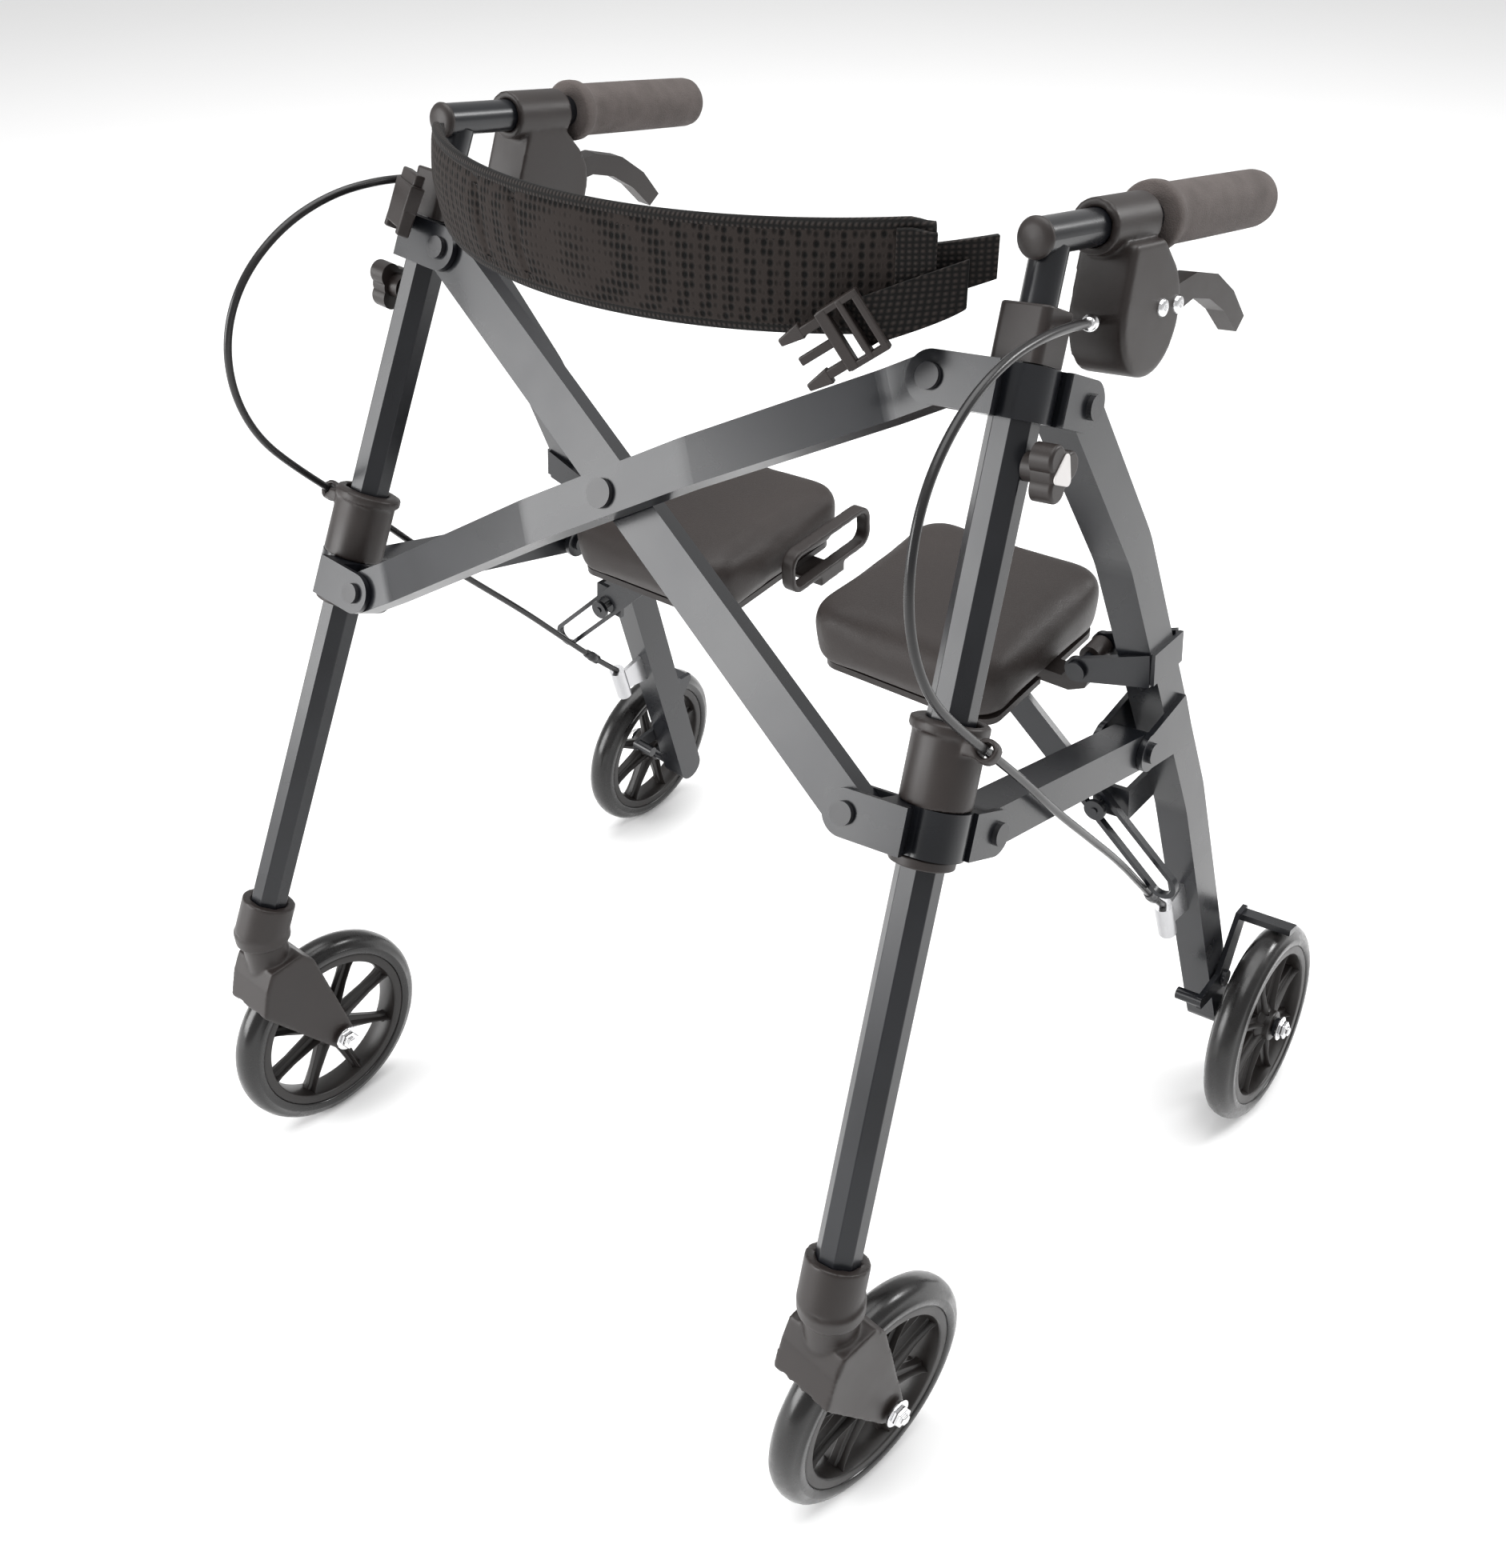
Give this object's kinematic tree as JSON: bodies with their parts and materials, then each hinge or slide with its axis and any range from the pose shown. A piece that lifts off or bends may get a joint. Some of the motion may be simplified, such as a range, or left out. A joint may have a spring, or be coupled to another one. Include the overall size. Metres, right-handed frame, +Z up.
{
  "type": "folding four-wheel walker",
  "caption": "Folding four-wheel walker with a scissor frame, split folding seat, back strap, height-adjustable handles and cable brakes.",
  "frame": {"origin": "bottom centre of the bounding box, on the floor under the middle of the frame", "axes": "+Z up, the front casters face -Y and the user stands at +Y, +X is towards the user's left hand side when they face the walker"},
  "size_m": [0.711, 0.6481, 0.7833],
  "materials": {
    "frame_paint": "gloss",
    "dark_plastic": "satin",
    "wheel_plastic": "satin",
    "tyre_rubber": "satin",
    "grip_foam": "matte",
    "seat_foam": "matte",
    "strap_fabric": "matte",
    "black_bolts": "gloss",
    "zinc": "satin",
    "chrome_steel": "gloss",
    "cable_jacket": "gloss"
  },
  "bodies": {
    "leg_r": {"leg_tube_r": "frame_paint", "top_bracket_r": "frame_paint", "leg_pins_r": "black_bolts", "stem_collar_r": "dark_plastic", "caster_socket_r": "dark_plastic"},
    "knob_r": {"height_knob_r": "dark_plastic"},
    "handle_r": {"handle_tube_r": "frame_paint", "grip_r": "grip_foam", "brake_housing_r": "dark_plastic", "cable_upper_r": "cable_jacket"},
    "lever_r": {"brake_lever_r": "dark_plastic"},
    "slider_r": {"slider_bracket_r": "frame_paint", "slider_pins_r": "black_bolts", "slider_sleeve_r": "dark_plastic"},
    "link_r": {"side_link_r": "frame_paint"},
    "rear_leg_r": {"rear_leg_r": "frame_paint", "cable_adjuster_r": "zinc", "cable_lower_r": "cable_jacket"},
    "brake_arm_r": {"brake_arm_r": "frame_paint"},
    "seat_r": {"seat_pan_r": "dark_plastic", "cushion_r": "seat_foam"},
    "brace_r": {"seat_brace_r": "frame_paint"},
    "rear_wheel_r": {"rear_hub_r": "wheel_plastic", "rear_tyre_r": "tyre_rubber"},
    "front_wheel_r": {"front_hub_r": "wheel_plastic", "front_tyre_r": "tyre_rubber"},
    "caster_r": {"caster_fork_r": "dark_plastic"},
    "leg_l": {"leg_tube_l": "frame_paint", "top_bracket_l": "frame_paint", "leg_pins_l": "black_bolts", "stem_collar_l": "dark_plastic", "caster_socket_l": "dark_plastic"},
    "knob_l": {"height_knob_l": "dark_plastic"},
    "handle_l": {"handle_tube_l": "frame_paint", "grip_l": "grip_foam", "brake_housing_l": "dark_plastic", "cable_upper_l": "cable_jacket", "backrest": "strap_fabric", "buckle_male": "dark_plastic"},
    "lever_l": {"brake_lever_l": "dark_plastic"},
    "slider_l": {"slider_bracket_l": "frame_paint", "slider_pins_l": "black_bolts", "slider_sleeve_l": "dark_plastic"},
    "link_l": {"side_link_l": "frame_paint"},
    "rear_leg_l": {"rear_leg_l": "frame_paint", "cable_adjuster_l": "zinc", "cable_lower_l": "cable_jacket"},
    "brake_arm_l": {"brake_arm_l": "frame_paint"},
    "seat_l": {"seat_pan_l": "dark_plastic", "cushion_l": "seat_foam", "seat_pull": "dark_plastic"},
    "brace_l": {"seat_brace_l": "frame_paint"},
    "rear_wheel_l": {"rear_hub_l": "wheel_plastic", "rear_tyre_l": "tyre_rubber"},
    "front_wheel_l": {"front_hub_l": "wheel_plastic", "front_tyre_l": "tyre_rubber"},
    "caster_l": {"caster_fork_l": "dark_plastic"},
    "bar_a": {"bar_a": "frame_paint", "centre_bolt": "black_bolts"},
    "bar_b": {"bar_b": "frame_paint"}
  },
  "joints": [
    {"name": "fold", "type": "hinge", "parent": "leg_l", "child": "bar_a", "pos_m": [-0.18759, -0.07485, 0.69898], "axis": [0, 0.9135, -0.4067], "range_deg": [0, 45.11], "deforming": ["backrest", "buckle_male", "cable_upper_r", "cable_upper_l", "cable_lower_r", "cable_lower_l"]},
    {"name": "bar_cross", "type": "hinge", "parent": "bar_a", "child": "bar_b", "pos_m": [0, -0.12042, 0.59662], "axis": [0, -0.9135, 0.4067], "range_deg": [0, 82.35]},
    {"name": "leg_r_turn", "type": "hinge", "parent": "bar_b", "child": "leg_r", "pos_m": [0.18759, -0.07485, 0.69898], "axis": [0, 0.9135, -0.4067], "range_deg": [0, 45.16]},
    {"name": "slider_l_turn", "type": "hinge", "parent": "bar_b", "child": "slider_l", "pos_m": [-0.20793, -0.17094, 0.48316], "axis": [0, 0.9135, -0.4067], "range_deg": [0, 37.24]},
    {"name": "slider_r_turn", "type": "hinge", "parent": "bar_a", "child": "slider_r", "pos_m": [0.20793, -0.17094, 0.48316], "axis": [0, -0.9135, 0.4067], "range_deg": [0, 37.24]},
    {"name": "rear_leg_r_swing", "type": "hinge", "parent": "leg_r", "child": "rear_leg_r", "pos_m": [0.23543, -0.02506, 0.68132], "axis": [-0.9956, 0, -0.0939], "range_deg": [0, 24.52]},
    {"name": "link_r_swing", "type": "hinge", "parent": "slider_r", "child": "link_r", "pos_m": [0.25578, -0.12114, 0.4655], "axis": [0.9956, 0, 0.0939], "range_deg": [0, 51.88]},
    {"name": "seat_r_lift", "type": "hinge", "parent": "rear_leg_r", "child": "seat_r", "pos_m": [0.216, 0.086, 0.462], "axis": [0, 0.9976, 0.0698], "range_deg": [0, 84.05]},
    {"name": "brace_r_swing", "type": "hinge", "parent": "seat_r", "child": "brace_r", "pos_m": [0.15, 0.08652, 0.42595], "axis": [0, -0.9976, -0.0698], "range_deg": [0, 55.75]},
    {"name": "rear_leg_l_swing", "type": "hinge", "parent": "leg_l", "child": "rear_leg_l", "pos_m": [-0.23543, -0.02506, 0.68132], "axis": [-0.9956, 0, 0.0939], "range_deg": [0, 24.52]},
    {"name": "link_l_swing", "type": "hinge", "parent": "slider_l", "child": "link_l", "pos_m": [-0.25578, -0.12114, 0.4655], "axis": [0.9956, 0, -0.0939], "range_deg": [0, 51.88]},
    {"name": "seat_l_lift", "type": "hinge", "parent": "rear_leg_l", "child": "seat_l", "pos_m": [-0.216, 0.086, 0.462], "axis": [0, -0.9976, -0.0698], "range_deg": [0, 84.05]},
    {"name": "brace_l_swing", "type": "hinge", "parent": "seat_l", "child": "brace_l", "pos_m": [-0.15, 0.08652, 0.42595], "axis": [0, 0.9976, 0.0698], "range_deg": [0, 55.75]},
    {"name": "caster_r_swivel", "type": "hinge", "parent": "leg_r", "child": "caster_r", "pos_m": [0.2725, -0.2725, 0.204], "axis": [0, 0, 1], "continuous": true},
    {"name": "front_wheel_r_spin", "type": "hinge", "parent": "caster_r", "child": "front_wheel_r", "pos_m": [0.27695, -0.23627, 0.085], "axis": [0.9925, -0.1219, 0], "continuous": true},
    {"name": "rear_wheel_r_spin", "type": "hinge", "parent": "rear_leg_r", "child": "rear_wheel_r", "pos_m": [0.33588, 0.242, 0.08468], "axis": [0.9956, 0, 0.0939], "continuous": true},
    {"name": "knob_r_turn", "type": "hinge", "parent": "leg_r", "child": "knob_r", "pos_m": [0.24216, -0.07247, 0.66375], "axis": [0.9956, 0, 0.0939], "continuous": true},
    {"name": "lever_r_squeeze", "type": "hinge", "parent": "handle_r", "child": "lever_r", "pos_m": [0.23684, 0.076, 0.70899], "axis": [0.9956, 0, 0.0939], "range_deg": [0, 14], "stiffness_Nm_per_rad": 0.6, "springref_deg": -6.88},
    {"name": "brake_arm_r_press", "type": "hinge", "parent": "rear_leg_r", "child": "brake_arm_r", "pos_m": [0.3028, 0.226, 0.12661], "axis": [-0.9956, 0, -0.0939], "range_deg": [0, 3.6]},
    {"name": "caster_l_swivel", "type": "hinge", "parent": "leg_l", "child": "caster_l", "pos_m": [-0.2725, -0.2725, 0.204], "axis": [0, 0, 1], "continuous": true},
    {"name": "front_wheel_l_spin", "type": "hinge", "parent": "caster_l", "child": "front_wheel_l", "pos_m": [-0.27123, -0.23602, 0.085], "axis": [0.9994, -0.0349, 0], "continuous": true},
    {"name": "rear_wheel_l_spin", "type": "hinge", "parent": "rear_leg_l", "child": "rear_wheel_l", "pos_m": [-0.33588, 0.242, 0.08468], "axis": [0.9956, 0, -0.0939], "continuous": true},
    {"name": "knob_l_turn", "type": "hinge", "parent": "leg_l", "child": "knob_l", "pos_m": [-0.24216, -0.07247, 0.66375], "axis": [0.9956, 0, -0.0939], "continuous": true},
    {"name": "lever_l_squeeze", "type": "hinge", "parent": "handle_l", "child": "lever_l", "pos_m": [-0.23684, 0.076, 0.70899], "axis": [0.9956, 0, -0.0939], "range_deg": [0, 14], "stiffness_Nm_per_rad": 0.6, "springref_deg": -6.88},
    {"name": "brake_arm_l_press", "type": "hinge", "parent": "rear_leg_l", "child": "brake_arm_l", "pos_m": [-0.3028, 0.226, 0.12661], "axis": [-0.9956, 0, 0.0939], "range_deg": [0, 3.6]},
    {"name": "handle_r_height", "type": "slide", "parent": "leg_r", "child": "handle_r", "axis": [-0.0858, 0.4052, 0.9102], "range_m": [0, 0.1205], "deforming": ["backrest", "buckle_male", "cable_upper_r"]},
    {"name": "handle_l_height", "type": "slide", "parent": "leg_l", "child": "handle_l", "axis": [0.0858, 0.4052, 0.9102], "range_m": [0, 0.12], "deforming": ["backrest", "buckle_male", "cable_upper_l"]}
  ],
  "couplings": [
    {"joint": "bar_cross", "follows": "fold", "ratio": 1.8242},
    {"joint": "leg_r_turn", "follows": "fold", "ratio": 1},
    {"joint": "slider_l_turn", "follows": "fold", "ratio": 0.82423},
    {"joint": "slider_r_turn", "follows": "fold", "ratio": 0.82423},
    {"joint": "rear_leg_r_swing", "follows": "fold", "ratio": 0.54231},
    {"joint": "link_r_swing", "follows": "fold", "ratio": 1.1488},
    {"joint": "seat_r_lift", "follows": "fold", "ratio": 1.8619},
    {"joint": "brace_r_swing", "follows": "fold", "ratio": 1.2345},
    {"joint": "rear_leg_l_swing", "follows": "fold", "ratio": 0.54231},
    {"joint": "link_l_swing", "follows": "fold", "ratio": 1.1488},
    {"joint": "seat_l_lift", "follows": "fold", "ratio": 1.8619},
    {"joint": "brace_l_swing", "follows": "fold", "ratio": 1.2345},
    {"joint": "brake_arm_r_press", "follows": "lever_r_squeeze", "ratio": 0.25},
    {"joint": "brake_arm_l_press", "follows": "lever_l_squeeze", "ratio": 0.25},
    {"joint": "handle_r_height", "follows": "handle_l_height", "ratio": 1}
  ]
}
